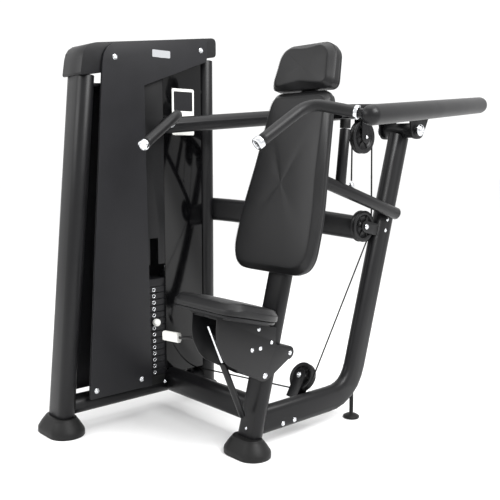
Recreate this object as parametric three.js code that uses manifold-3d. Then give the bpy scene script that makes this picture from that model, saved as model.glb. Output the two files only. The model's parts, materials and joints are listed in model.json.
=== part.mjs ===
// A shoulder press machine with a weight stack: a seat post with a sliding seat and a back pad,
// a bent rear frame that carries a pivoting press arm, and a shrouded tower at the user's right
// that holds the stack. Millimetres. X runs to the user's left, Y to the rear, Z up. The origin
// is on the floor, under the middle of the seat post's foot.
import * as THREE from 'three';
import { ConvexGeometry } from 'three/addons/geometries/ConvexGeometry.js';
import { mergeVertices } from 'three/addons/utils/BufferGeometryUtils.js';
import Module from 'manifold-3d';

const wasm = await Module();
wasm.setup();

const rad = THREE.MathUtils.degToRad;
const v = (x, y, z) => new THREE.Vector3(x, y, z);
const X_AXIS = v(1, 0, 0);
const Y_AXIS = v(0, 1, 0);
const Z_AXIS = v(0, 0, 1);

// ---------------------------------------------------------------- driving dimensions
const GAP = 0.3;                    // clearance between pieces that touch
const FLOOR = -30;                  // the floor, below the level that heights are measured from
const OVAL = { wide: 100, deep: 50 };   // flat-oval tube of the main frame
const POST_LEAN = 14.7;             // seat post, degrees back from upright
const POST_Y = 4;                   // seat post centre line at height zero
const REAR_LEAN = 15.7;             // rear post, degrees back from upright
const RAIL_Z = 76;                  // centre height of the floor rail
const REAR_CORNER_Y = 534;          // where the rail's and the rear post's centre lines cross
const REAR_BEND = 118;              // tangent length of the bend between them
const PIVOT = v(0, 828, 1099);      // press arm hinge, an axis along X
const SEAT_BOOT = { wide: 186, deep: 124, neckWide: 116, neckDeep: 66 };
const TOWER_BOOT = { wide: 212, deep: 136, neckWide: 138, neckDeep: 84 };
const CABLE_R = 3.2;

const TOWER = { x: -624, wide: 124, deep: 68, frontY: -379, rearY: 295, frontLean: 5.47 };
const STACK = { x: -626, y: 18, deep: 92, wide: 256, floor: 118, plate: 26, count: 15, lifted: 7 };
const ROD = { r: 12.5, spread: 92, top: 1250 };
const LIFT = 302;                   // how far the stack rises
const PIN_KNOB_R = 15;

const ARM = { r: 30, frontX: 494, frontY: 32, frontZ: 1114, rearX: 299, rearY: 909, rearZ: 1189 };
const HANDLE = { r: 14, bend: v(317, -38, 1153), end: v(289, -208, 1039), turn: 52 };
const GRIP_R = 17.5;
const COPE_R = ARM.r + 0.9;         // where the cross tube's ends are coped round the arms
const SHAFT_R = 15;                 // press arm's shaft
const HOUSING = { r: 29.6, half: 70, bore: 15.4 };
const CHEEK = { x: 72, thick: 8 };  // the yoke's cheeks, outside the housing
const AXLE_R = 8;
const LEVER = { wide: 56, high: 52, frontY: 440, frontZ: 1160, rearY: 892, rearZ: 1184 };

const ARM_PULLEY = v(0, 588, 1070);
const MID_PULLEY = v(0, 598, 728);
const LOW_PULLEY = v(-58, 334, 166);
const PULLEY_R = { arm: 58, mid: 56, low: 50, base: 34, top: 50 };
const ANCHOR_Z = 905;               // where the lift cable is made fast on the strut
const MID_WRAP = -32.9;             // degrees where the cable leaves the middle pulley
const TOWER_CABLE = { x: -650, y: 235, z: 107 };    // the cable's corner at the tower's foot
const TOP_PULLEY_Z = 1318;

// ---------------------------------------------------------------- finishes
const finish = (color, roughness, metalness) =>
  new THREE.MeshStandardMaterial({ color, roughness, metalness });
const FRAME_BLACK = finish(0x17181a, 0.45, 0.4);
const SHROUD_GREY = finish(0x232426, 0.5, 0.3);
const ACRYLIC = finish(0x0a0a0b, 0.12, 0.0);
const VINYL = finish(0x141415, 0.55, 0.0);
const RUBBER = finish(0x111112, 0.8, 0.0);
const CHROME = finish(0xc9ccd0, 0.15, 1.0);
const NYLON = finish(0x1b1b1c, 0.4, 0.0);
const PLATE_STEEL = finish(0x1d1d1f, 0.5, 0.6);
const WHITE_GRIP = finish(0xe8e8e6, 0.4, 0.0);

// ---------------------------------------------------------------- outlines and solids
// A flat oval, long side along x.
function oval(wide, deep) {
  const r = deep / 2;
  const c = wide / 2 - r;
  const shape = new THREE.Shape();
  shape.absarc(c, 0, r, -Math.PI / 2, Math.PI / 2, false);
  shape.absarc(-c, 0, r, Math.PI / 2, Math.PI * 1.5, false);
  return shape;
}

function roundRect(wide, high, r) {
  const x = wide / 2;
  const y = high / 2;
  const shape = new THREE.Shape();
  shape.absarc(x - r, y - r, r, 0, Math.PI / 2, false);
  shape.absarc(-x + r, y - r, r, Math.PI / 2, Math.PI, false);
  shape.absarc(-x + r, -y + r, r, Math.PI, Math.PI * 1.5, false);
  shape.absarc(x - r, -y + r, r, Math.PI * 1.5, Math.PI * 2, false);
  return shape;
}

function circle(r) {
  return new THREE.Shape().absarc(0, 0, r, 0, Math.PI * 2, false);
}

// An outline through corner points, each corner rounded to its own radius: [x, y, radius].
function rounded(corners) {
  const shape = new THREE.Shape();
  corners.forEach(([x, y, r = 0], i) => {
    const here = new THREE.Vector2(x, y);
    const last = new THREE.Vector2(...corners.at(i - 1).slice(0, 2));
    const next = new THREE.Vector2(...corners[(i + 1) % corners.length].slice(0, 2));
    const before = last.sub(here).setLength(r || 1e-3).add(here);
    const after = next.sub(here).setLength(r || 1e-3).add(here);
    if (i === 0) shape.moveTo(before.x, before.y);
    else shape.lineTo(before.x, before.y);
    if (r) shape.quadraticCurveTo(here.x, here.y, after.x, after.y);
  });
  return shape;
}

// A straight bar of one section from a to b; the section's x axis lies along side.
function bar(shape, a, b, side = X_AXIS, curveSegments = 4) {
  const along = b.clone().sub(a);
  const geometry = new THREE.ExtrudeGeometry(
    shape, { depth: along.length(), bevelEnabled: false, curveSegments });
  const z = along.normalize();
  const y = z.clone().cross(side).normalize();
  const x = y.clone().cross(z);
  return geometry.applyMatrix4(new THREE.Matrix4().makeBasis(x, y, z).setPosition(a));
}

// A flat plate cut from an outline in the YZ plane, from x to x + thickness.
function sidePlate(shape, x, thickness, curveSegments = 4) {
  return bar(shape, v(x, 0, 0), v(x + thickness, 0, 0), Y_AXIS, curveSegments);
}

function sweep(shape, path, steps, curveSegments = 3) {
  return new THREE.ExtrudeGeometry(shape, { extrudePath: path, steps, curveSegments });
}

// A path of straight runs joined by bends.
function bentPath(points, turns) {
  const path = new THREE.CurvePath();
  let from = points[0];
  for (let i = 1; i < points.length - 1; i += 1) {
    const turn = turns[i - 1];
    const into = points[i - 1].clone().sub(points[i]).setLength(turn).add(points[i]);
    const out = points[i + 1].clone().sub(points[i]).setLength(turn).add(points[i]);
    path.add(new THREE.LineCurve3(from, into));
    path.add(new THREE.QuadraticBezierCurve3(into, points[i], out));
    from = out;
  }
  path.add(new THREE.LineCurve3(from, points.at(-1)));
  return path;
}

// A turned piece: its profile is [radius, height] pairs, and it stands along Z.
function turned(profile, segments = 24) {
  const points = profile.map(([r, h]) => new THREE.Vector2(r, h));
  return new THREE.LatheGeometry(points, segments).rotateX(Math.PI / 2);
}

// A turned piece laid from a to b.
function turnedAlong(profile, a, direction, segments = 24) {
  const turn = new THREE.Quaternion().setFromUnitVectors(Z_AXIS, direction.clone().normalize());
  return turned(profile, segments).applyQuaternion(turn).translate(a.x, a.y, a.z);
}

function rod(r, a, b, segments = 20) {
  const length = a.distanceTo(b);
  return turnedAlong([[0, 0], [r, 0], [r, length], [0, length]], a, b.clone().sub(a), segments);
}

function block(low, high) {
  const size = v(...high).sub(v(...low));
  const centre = v(...low).addScaledVector(size, 0.5);
  return new THREE.BoxGeometry(size.x, size.y, size.z).translate(centre.x, centre.y, centre.z);
}

// ---------------------------------------------------------------- joining and cutting
function toSolid(geometry) {
  const bare = geometry.clone();
  bare.deleteAttribute('normal');
  bare.deleteAttribute('uv');
  const merged = mergeVertices(bare, 1e-4);
  const position = merged.attributes.position;
  const index = Array.from(merged.index.array);
  const corners = [];
  for (let i = 0; i < index.length; i += 3) {
    const [a, b, c] = index.slice(i, i + 3);
    if (a !== b && b !== c && c !== a) corners.push(a, b, c);
  }
  const mesh = new wasm.Mesh({
    numProp: 3,
    vertProperties: new Float32Array(position.array),
    triVerts: new Uint32Array(corners),
  });
  return new wasm.Manifold(mesh);
}

function toGeometry(solid) {
  const mesh = solid.getMesh();
  const geometry = new THREE.BufferGeometry();
  geometry.setAttribute('position', new THREE.BufferAttribute(mesh.vertProperties, 3));
  geometry.setIndex(new THREE.BufferAttribute(mesh.triVerts, 1));
  const flat = geometry.toNonIndexed();
  flat.computeVertexNormals();
  return flat;
}

const join = (...parts) => toGeometry(parts.map(toSolid).reduce((a, b) => a.add(b)));
const cut = (part, ...tools) =>
  toGeometry(tools.map(toSolid).reduce((a, b) => a.subtract(b), toSolid(part)));

// ---------------------------------------------------------------- scene graph
const machine = new THREE.Group();

function piece(name, geometry, material) {
  const mesh = new THREE.Mesh(geometry, material);
  mesh.name = name;
  machine.add(mesh);
  return mesh;
}

const mirrored = [['left', 1], ['right', -1]];
const leanTurn = -rad(POST_LEAN);

// Things that lean with the seat post are drawn with the post upright, its axis on the Z axis,
// and turned into place here.
const lean = (geometry) => geometry.rotateX(leanTurn).translate(0, POST_Y, 0);

// The seat post's own volume, grown by a clearance, for what wraps or butts against it.
function postBar(grow = 0, from = -18, to = 1190) {
  return lean(bar(oval(OVAL.wide + 2 * grow, OVAL.deep + 2 * grow), v(0, 0, from), v(0, 0, to)));
}

function outlinePoints(shape, z, divisions = 4) {
  return shape.getPoints(divisions).map((p) => v(p.x, p.y, z));
}

// A moulded boot: a low base that slopes in to a neck, cut out for the tube that stands in it.
function boot({ wide, deep, neckWide, neckDeep }, tube) {
  const hull = new ConvexGeometry([
    ...outlinePoints(oval(wide, deep), FLOOR),
    ...outlinePoints(oval(wide, deep), FLOOR + 20),
    ...outlinePoints(oval(neckWide, neckDeep), FLOOR + 58),
  ]);
  return cut(hull, tube);
}

// ---------------------------------------------------------------- seat post and rear frame
function rearPath() {
  const up = v(0, Math.sin(rad(REAR_LEAN)), Math.cos(rad(REAR_LEAN)));
  const corner = v(0, REAR_CORNER_Y, RAIL_Z);
  return bentPath([v(0, 34, RAIL_Z), corner, corner.clone().addScaledVector(up, 1040)], [REAR_BEND]);
}

// The rear frame's tube, its long side in the plane of the bend.
const rearTube = (grow = 0) =>
  sweep(oval(OVAL.wide + 2 * grow, OVAL.deep + 2 * grow), rearPath(), 44);

function mainFrame() {
  piece('seat_post_foot', boot(SEAT_BOOT, postBar(GAP)), RUBBER);
  piece('seat_post', postBar(), FRAME_BLACK);

  const housingSpace = rod(30, v(-80, PIVOT.y, PIVOT.z), v(80, PIVOT.y, PIVOT.z));
  const above = block([-60, PIVOT.y - 90, PIVOT.z], [60, PIVOT.y + 90, PIVOT.z + 90]);
  const bootSpace = block([-100, -70, FLOOR], [100, 70, FLOOR + 60]);
  piece('rear_frame', cut(rearTube(), postBar(GAP), housingSpace, above, bootSpace), FRAME_BLACK);

  const across = (half) => [v(-half, PIVOT.y, PIVOT.z), v(half, PIVOT.y, PIVOT.z)];
  const housing = rod(HOUSING.r, ...across(HOUSING.half));
  const bore = rod(HOUSING.bore, ...across(HOUSING.half + 20));
  piece('pivot_housing', cut(housing, bore), FRAME_BLACK);

  const glide = turnedAlong(
    [[0, 0], [32, 0], [32, 8], [20, 15], [8, 19], [8, 120], [0, 120]], v(0, 552, FLOOR), Z_AXIS);
  piece('levelling_foot', cut(glide, rearTube(GAP)), RUBBER);

  const beam = bar(oval(100, 56), v(TOWER.x + 20, 94, 92), v(-10, 94, 92), Z_AXIS);
  piece('base_beam', cut(beam, rearTube(GAP), block([1 - OVAL.deep / 2, 0, 0], [60, 200, 200]), postBar(GAP),
    block([TOWER.x - 10, 0, 0], [TOWER.x + 52, 200, 200])), FRAME_BLACK);

  const midPath = new THREE.QuadraticBezierCurve3(
    v(TOWER.x + 20, TOWER.rearY + 20, 779), v(-300, 430, 768), v(-20, 700, 702));
  piece('mid_beam', cut(sweep(oval(94, 44), midPath, 12), rearTube(GAP),
    block([1 - OVAL.deep / 2, 500, 500], [80, 900, 900]), towerRear(GAP)), FRAME_BLACK);

  const strut = (grow) => bar(circle(24 + grow), v(20, 256, 939), v(50, 745, 772), X_AXIS, 6);
  piece('strut_tube', cut(strut(0), postBar(GAP), rearTube(GAP)), FRAME_BLACK);
  const column = bar(circle(20), v(31, 430, 880), v(14, 473, 1096), X_AXIS, 6);
  piece('stop_column', cut(column, strut(GAP)), FRAME_BLACK);
  piece('stop_bumper', rod(20, v(14, 473, 1101), v(14, 474, 1133)), RUBBER);
}

// ---------------------------------------------------------------- weight tower
const FRONT_TAN = Math.tan(rad(TOWER.frontLean));
const towerFrontPoint = (z) => v(TOWER.x, TOWER.frontY + z * FRONT_TAN, z);

function towerRear(grow = 0, from = -18, to = 1384) {
  return bar(oval(TOWER.wide + 2 * grow, TOWER.deep + 2 * grow),
    v(TOWER.x, TOWER.rearY, from), v(TOWER.x, TOWER.rearY, to));
}

function towerFront(grow = 0, from = -18, to = 1290) {
  return bar(oval(TOWER.wide + 2 * grow, TOWER.deep + 2 * grow),
    towerFrontPoint(from), towerFrontPoint(to));
}

function tower() {
  const frontBoot = boot(TOWER_BOOT, towerFront(GAP).translate(-TOWER.x, -TOWER.frontY, 0));
  const rearBoot = boot(TOWER_BOOT, towerRear(GAP).translate(-TOWER.x, -TOWER.rearY, 0));
  piece('tower_front_foot', frontBoot, RUBBER).position.set(TOWER.x, TOWER.frontY, 0);
  piece('tower_rear_foot', rearBoot, RUBBER).position.set(TOWER.x, TOWER.rearY, 0);
  piece('tower_front_upright', towerFront(), FRAME_BLACK);
  piece('tower_rear_upright', towerRear(), FRAME_BLACK);
  piece('tower_bottom_rail', cut(bottomRail(0), towerFront(GAP), towerRear(GAP)), FRAME_BLACK);

  const wall = 4;
  const outline = (inset) => rounded([
    [-296 + inset, inset ? 1200 : 1284, inset ? 0 : 12], [-278 + inset, 1398 - inset, 52],
    [326 - inset, 1474 - inset, 24], [326 - inset, inset ? 1300 : 1398, inset ? 0 : 14]]);
  const cap = sidePlate(outline(0), TOWER.x - 67, 134);
  const inside = sidePlate(outline(wall), TOWER.x - 67 + wall, 134 - 2 * wall);
  piece('tower_cap', cut(cap, inside, towerRear(GAP), towerFront(GAP)), NYLON);

  const shroud = rounded([[-300, 94, 8], [-22, 94, 5], [-35, 1262, 0], [269, 1374, 16],
    [269, 1466, 14], [-207, 1405, 70]]);
  piece('shroud_panel', sidePlate(shroud, -555, 12), SHROUD_GREY);

  const strip = rounded([[-31, 572], [70, 572], [70, 1352], [-31, 1336]]);
  const knobTop = pinZ + LIFT + PIN_KNOB_R;
  const knobSlot = block([-580, STACK.y - PIN_KNOB_R - 4, 560],
    [-560, STACK.y + PIN_KNOB_R + 4, knobTop + 20]);
  piece('slot_strip', cut(sidePlate(strip, -576, 4), knobSlot), FRAME_BLACK);
  const gloss = rounded([[70 + GAP, 116], [258, 116], [258, 1396], [70 + GAP, 1352]]);
  piece('gloss_panel', sidePlate(gloss, -576, 4), ACRYLIC);
  const back = rounded([[-324, 100, 4], [258, 100, 4], [258, 1300, 4], [-212, 1270, 4]]);
  piece('back_panel', sidePlate(back, -686, 4), SHROUD_GREY);
}

function bottomRail(grow) {
  return bar(oval(96 + 2 * grow, 60 + 2 * grow), v(TOWER.x, TOWER.frontY, 66),
    v(TOWER.x, TOWER.rearY, 66));
}

// ---------------------------------------------------------------- weight stack
const rodPlaces = [-ROD.spread, ROD.spread].map((offset) => STACK.y + offset);
const pinZ = STACK.floor + (STACK.count - STACK.lifted + 0.5) * STACK.plate;
const pinBore = () => rod(5.4, v(STACK.x - 30, STACK.y, pinZ), v(-560, STACK.y, pinZ), 10);

// Plates on the guide rods: a pile with a groove between one plate and the next.
function plates(from, count) {
  const plate = roundRect(STACK.wide, STACK.deep, 8);
  const bottom = STACK.floor + from * STACK.plate + GAP;
  const pile = Array.from({ length: count }, (_, i) => {
    const z = bottom + i * STACK.plate;
    return bar(plate, v(STACK.x, STACK.y, z), v(STACK.x, STACK.y, z + STACK.plate - 2), Y_AXIS, 1);
  });
  const core = bar(roundRect(STACK.wide - 5, STACK.deep - 5, 8), v(STACK.x, STACK.y, bottom + 1),
    v(STACK.x, STACK.y, bottom + count * STACK.plate - 2 * GAP), Y_AXIS, 1);
  const bores = rodPlaces.map((y) => rod(ROD.r + 1, v(STACK.x, y, 60), v(STACK.x, y, 900), 16));
  const stem = rod(11, v(STACK.x, STACK.y, 60), v(STACK.x, STACK.y, 900), 12);
  return cut(join(core, ...pile), ...bores, stem, pinBore());
}

function weightStack() {
  const base = block([STACK.x - 46, STACK.y - 128, 70], [STACK.x + 46, STACK.y + 128, 118 - GAP]);
  piece('stack_base', cut(base, bottomRail(GAP)), RUBBER);
  rodPlaces.forEach((y, i) => {
    const name = i ? 'guide_rod_rear' : 'guide_rod_front';
    piece(name, rod(ROD.r, v(STACK.x, y, 118), v(STACK.x, y, ROD.top)), CHROME);
  });
  const rest = STACK.count - STACK.lifted;
  piece('resting_plates', plates(0, rest), PLATE_STEEL);
  piece('selected_plates', plates(rest, STACK.lifted - 1), PLATE_STEEL);

  const topZ = STACK.floor + (STACK.count - 1) * STACK.plate + GAP;
  const topPlate = bar(roundRect(STACK.wide, STACK.deep, 8),
    v(STACK.x, STACK.y, topZ), v(STACK.x, STACK.y, topZ + 30), Y_AXIS, 2);
  const bushes = rodPlaces.map((y) => rod(22, v(STACK.x, y, topZ + 20), v(STACK.x, y, topZ + 52)));
  const bores = rodPlaces.map((y) =>
    rod(ROD.r + 0.6, v(STACK.x, y, topZ - 10), v(STACK.x, y, topZ + 90)));
  const stem = rod(10, v(STACK.x, STACK.y, 150), v(STACK.x, STACK.y, topZ + 74));
  piece('top_plate', cut(join(topPlate, ...bushes, stem), ...bores, pinBore()), PLATE_STEEL);

  piece('selector_pin', turnedAlong(
    [[0, 0], [5, 0], [5, 49], [12, 51], [PIN_KNOB_R, 58], [PIN_KNOB_R, 70], [10, 77], [0, 78]],
    v(STACK.x - 1, STACK.y, pinZ), X_AXIS, 20), WHITE_GRIP);

  const head = block([TOWER.x - 46, -260, ROD.top + GAP], [TOWER.x + 46, 290, ROD.top + 12]);
  const slots = [STACK.y, TOWER_CABLE.y].map((y) =>
    block([TOWER.x - 12, y - 10, 1200], [TOWER.x + 12, y + 10, 1400]));
  const ears = [-26, 20].map((x) =>
    block([TOWER.x + x, 44, ROD.top + 6], [TOWER.x + x + 6, 212, TOP_PULLEY_Z + 14]));
  const axles = topPulleyCentres.map((c) => rod(AXLE_R, c.clone().setX(c.x - 28), c.clone().setX(c.x + 28)));
  piece('crosshead', join(cut(head, ...slots, towerFront(GAP), towerRear(GAP)), ...ears, ...axles),
    FRAME_BLACK);
}

// ---------------------------------------------------------------- pulleys
const topPulleyCentres = [STACK.y + PULLEY_R.top, TOWER_CABLE.y - PULLEY_R.top].map((y) =>
  v(TOWER.x, y, TOP_PULLEY_Z));
const leavesMid = MID_PULLEY.clone().add(
  v(0, PULLEY_R.mid * Math.cos(rad(MID_WRAP)), PULLEY_R.mid * Math.sin(rad(MID_WRAP))));
const meetsLow = LOW_PULLEY.clone().add(v(PULLEY_R.low, 0, 0));
const upTheDiagonal = leavesMid.clone().sub(meetsLow).normalize();
const lowAxis = X_AXIS.clone().cross(upTheDiagonal).normalize();

// A grooved wheel on a bore, its axis along the given direction.
function pulley(r, centre, axis) {
  const half = 12;
  const profile = [[AXLE_R + 0.5, -half], [r * 0.45, -half], [r * 0.5, -half + 3], [r * 0.8, -half + 3],
    [r * 0.84, -half], [r + 5, -half + 1], [r + 5, -half + 3], [r - CABLE_R - 1.2, -3],
    [r - CABLE_R - 1.2, 3], [r + 5, half - 3], [r + 5, half - 1], [r * 0.84, half],
    [r * 0.8, half - 3], [r * 0.5, half - 3], [r * 0.45, half], [AXLE_R + 0.5, half],
    [AXLE_R + 0.5, -half]];
  return turnedAlong(profile, centre, axis, 16);
}

// Two cheeks, a web and an axle that hold a pulley. Drawn with the axle along X and the cheeks
// running down; the caller turns it into place.
function fork(length, width, half = 15) {
  const outline = new THREE.Shape();
  outline.absarc(0, 0, width / 2, 0, Math.PI, false);
  outline.lineTo(-width / 2, -length);
  outline.lineTo(width / 2, -length);
  const cheeks = [-half - 5, half].map((x) => sidePlate(outline, x, 5));
  const axle = rod(AXLE_R, v(-half - 9, 0, 0), v(half + 9, 0, 0), 16);
  const web = block([-half - 1, -width / 2, -length], [half + 1, width / 2, -length + 8]);
  return join(...cheeks, axle, web);
}

function pulleys() {
  piece('arm_pulley', pulley(PULLEY_R.arm, ARM_PULLEY, X_AXIS), NYLON);
  piece('mid_pulley', pulley(PULLEY_R.mid, MID_PULLEY, X_AXIS), NYLON);
  piece('low_pulley', pulley(PULLEY_R.low, LOW_PULLEY, lowAxis), NYLON);

  const towardsPost = fork(110, 46).rotateX(rad(76)).translate(0, MID_PULLEY.y, MID_PULLEY.z);
  piece('mid_pulley_fork', cut(towardsPost, rearTube(GAP)), FRAME_BLACK);

  const tilt = new THREE.Matrix4().makeBasis(
    lowAxis, upTheDiagonal.clone().cross(lowAxis), upTheDiagonal).setPosition(LOW_PULLEY);
  piece('low_pulley_fork', cut(fork(88, 52).applyMatrix4(tilt), rearTube(GAP),
    block([-200, 0, -200], [200, 800, 84])), FRAME_BLACK);

  const base = v(
    TOWER_CABLE.x + PULLEY_R.base, TOWER_CABLE.y, TOWER_CABLE.z + PULLEY_R.base);
  piece('tower_base_pulley', pulley(PULLEY_R.base, base, Y_AXIS), NYLON);
  const hanger = fork(90, 30).rotateZ(Math.PI / 2).translate(base.x, base.y, base.z);
  const panelSpace = block([-577, 0, 0], [-540, 300, 400]);
  piece('tower_base_bracket', cut(hanger, bottomRail(GAP), panelSpace,
    block([-580, 200, 100], [-400, 250, 150])), FRAME_BLACK);

  ['front', 'rear'].forEach((end, i) =>
    piece(`top_pulley_${end}`, pulley(PULLEY_R.top, topPulleyCentres[i], X_AXIS), NYLON));
}

// ---------------------------------------------------------------- cables
// A run of straight pieces through a list of points, with a ring of the tube at each point.
class Run extends THREE.Curve {
  constructor(points) {
    super();
    this.points = points;
  }

  getPointAt(u) {
    return this.points[Math.round(u * (this.points.length - 1))].clone();
  }

  getSpacedPoints(count) {
    return Array.from({ length: count + 1 }, (_, i) => this.getPointAt(i / count));
  }

  getTangentAt(u) {
    const i = Math.round(u * (this.points.length - 1));
    const before = this.points[Math.max(i - 1, 0)];
    const after = this.points[Math.min(i + 1, this.points.length - 1)];
    const here = this.points[i];
    const into = i ? here.clone().sub(before).normalize() : v(0, 0, 0);
    const out = here.equals(after) ? v(0, 0, 0) : after.clone().sub(here).normalize();
    return into.add(out).normalize();
  }
}

function cable(name, points) {
  piece(name, sweep(circle(CABLE_R), new Run(points), points.length - 1, 4), RUBBER);
}

// Points round a pulley, from the direction first to the direction second, a quarter turn apart
// or less.
function wrap(centre, r, first, second, degrees, steps = 6) {
  return Array.from({ length: steps + 1 }, (_, i) => {
    const a = rad(degrees * i / steps);
    return centre.clone().addScaledVector(first, r * Math.cos(a))
      .addScaledVector(second, r * Math.sin(a));
  });
}

function cables() {
  const down = v(0, 0, -1);
  const forward = v(0, -1, 0);
  const away = v(-1, 0, 0);
  const frontY = ARM_PULLEY.y - PULLEY_R.arm;
  const rearY = ARM_PULLEY.y + PULLEY_R.arm;
  cable('lift_cable_front', [v(0, frontY, ANCHOR_Z), v(0, frontY, ARM_PULLEY.z - 1)]);
  cable('lift_cable_wrap', [
    ...wrap(ARM_PULLEY, PULLEY_R.arm, forward, Z_AXIS, 90),
    ...wrap(ARM_PULLEY, PULLEY_R.arm, Z_AXIS, Y_AXIS, 90).slice(1)]);
  cable('lift_cable_rear', [
    v(0, rearY, ARM_PULLEY.z - 1), v(0, MID_PULLEY.y + PULLEY_R.mid, MID_PULLEY.z + 1)]);

  const base = v(
    TOWER_CABLE.x + PULLEY_R.base, TOWER_CABLE.y, TOWER_CABLE.z + PULLEY_R.base);
  const [front, rear] = topPulleyCentres;
  cable('transfer_cable', [
    ...wrap(MID_PULLEY, PULLEY_R.mid, Y_AXIS, down, -MID_WRAP, 3),
    ...wrap(LOW_PULLEY, PULLEY_R.low, X_AXIS, upTheDiagonal.clone().negate(), 90),
    ...wrap(base, PULLEY_R.base, down, away, 90),
    ...wrap(rear, PULLEY_R.top, Y_AXIS, Z_AXIS, 90),
    ...wrap(front, PULLEY_R.top, Z_AXIS, forward, 90)]);
  const stemTop = STACK.floor + (STACK.count - 1) * STACK.plate + 75;
  cable('stack_cable', [
    v(TOWER.x, STACK.y, TOP_PULLEY_Z - 1), v(TOWER.x, STACK.y, stemTop)]);
}

// ---------------------------------------------------------------- press arm
const leverBar = (grow) => bar(roundRect(LEVER.wide + 2 * grow, LEVER.high + 2 * grow, 12),
  v(0, LEVER.frontY - grow, LEVER.frontZ), v(0, LEVER.rearY, LEVER.rearZ));

function pressArm() {
  for (const [side, s] of mirrored) {
    const front = v(s * ARM.frontX, ARM.frontY, ARM.frontZ);
    const rear = v(s * ARM.rearX, ARM.rearY, ARM.rearZ);
    const length = front.distanceTo(rear);
    const dome = Array.from({ length: 7 }, (_, i) => {
      const a = rad(i * 15);
      return [ARM.r * Math.sin(a), -ARM.r * Math.cos(a)];
    });
    const profile = [...dome, ...dome.map(([r, h]) => [r, length - h]).reverse()];
    const tube = turnedAlong(profile, front, rear.clone().sub(front), 24);
    const bend = HANDLE.bend.clone().setX(s * HANDLE.bend.x);
    const end = HANDLE.end.clone().setX(s * HANDLE.end.x);
    const path = bentPath([front, bend, end], [HANDLE.turn]);
    piece(`press_arm_${side}`, join(tube, sweep(circle(HANDLE.r), path, 14, 4)), FRAME_BLACK);

    const along = end.clone().sub(bend).normalize();
    const from = bend.clone().addScaledVector(along, HANDLE.turn + 8);
    const sleeve = rod(GRIP_R, from, end.clone().addScaledVector(along, 12));
    const inside = rod(HANDLE.r + 0.6, bend, end.clone().addScaledVector(along, 0.6));
    piece(`grip_${side}`, cut(sleeve, inside), RUBBER);
  }
  const armSpaces = mirrored.map(([, s]) => {
    const front = v(s * ARM.frontX, ARM.frontY, ARM.frontZ);
    const rear = v(s * ARM.rearX, ARM.rearY, ARM.rearZ);
    return bar(circle(COPE_R), front, rear.lerp(front, -0.05), X_AXIS, 12);
  });
  const crossAt = (x) => v(x, ARM.rearY - 14, ARM.rearZ - 1);
  const cross = rod(ARM.r, crossAt(-ARM.rearX), crossAt(ARM.rearX), 24);
  piece('cross_tube', cut(cross, ...armSpaces), FRAME_BLACK);
  const crossSpace = rod(ARM.r + GAP, crossAt(-90), crossAt(90), 24);
  piece('lever_tube', cut(leverBar(0), crossSpace), FRAME_BLACK);

  const cheek = rounded([[PIVOT.y - 32, PIVOT.z - 34, 26], [PIVOT.y + 34, PIVOT.z - 34, 26],
    [PIVOT.y + 92, PIVOT.z + 84, 16], [PIVOT.y + 54, PIVOT.z + 110, 14],
    [PIVOT.y - 54, PIVOT.z + 96, 14]]);
  const cheeks = [-CHEEK.x - CHEEK.thick, CHEEK.x].map((x) => sidePlate(cheek, x, CHEEK.thick));
  const shaft = rod(SHAFT_R, v(-96, PIVOT.y, PIVOT.z), v(96, PIVOT.y, PIVOT.z));
  piece('pivot_yoke', cut(join(...cheeks, shaft), crossSpace), FRAME_BLACK);

  const hanging = fork(78, 46).rotateX(Math.PI).translate(0, ARM_PULLEY.y, ARM_PULLEY.z);
  piece('arm_pulley_fork', cut(hanging, leverBar(GAP)), FRAME_BLACK);
}

// ---------------------------------------------------------------- pads
// A padded board, drawn upright behind the plane y = -front: a full outline to the shoulder, then
// a bevel to a smaller face.
function padHull(corners, { back, shoulder, front, inset }) {
  const centre = corners.reduce((sum, [x, z]) => sum.add(v(x, 0, z)), v(0, 0, 0))
    .divideScalar(corners.length);
  const points = [];
  for (const p of rounded(corners).getPoints(5)) {
    const edge = v(p.x, 0, p.y);
    const face = edge.clone().addScaledVector(centre.clone().sub(edge).normalize(), inset);
    points.push(edge.clone().setY(-back), edge.clone().setY(-shoulder), face.setY(-front));
  }
  return lean(new ConvexGeometry(points));
}

function pads() {
  const half = OVAL.deep / 2;
  const plane = { back: half + 8, shoulder: half + 38, front: half + 60, inset: 26 };
  piece('back_pad', padHull([[-192, 606, 84], [192, 606, 84], [196, 800, 90], [135, 1246, 34],
    [-135, 1246, 34], [-196, 800, 90]], plane), VINYL);
  piece('head_pad', padHull([[-150, 1252, 34], [150, 1252, 34], [132, 1392, 30], [92, 1416, 20],
    [-92, 1416, 20], [-132, 1392, 30]], { ...plane, shoulder: half + 48, front: half + 72 }), VINYL);
  const spine = bar(roundRect(80, 6, 2), v(0, -half - 4, 700), v(0, -half - 4, 1390));
  piece('pad_bracket', lean(spine), FRAME_BLACK);
}

// ---------------------------------------------------------------- seat
// Drawn upright: z runs along the post, and the seat's underside is the plane z = SEAT.under.
const SEAT = { front: -340, rear: -33, under: 432, thick: 58, wide: 332 };
// The rod's foot stands clear of the bore's end by the whole travel down.
const GAS = { low: v(0, -22, 112), high: v(0, -174, 462), cylinder: 222, bore: 40, rodFoot: 118 };

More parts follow.
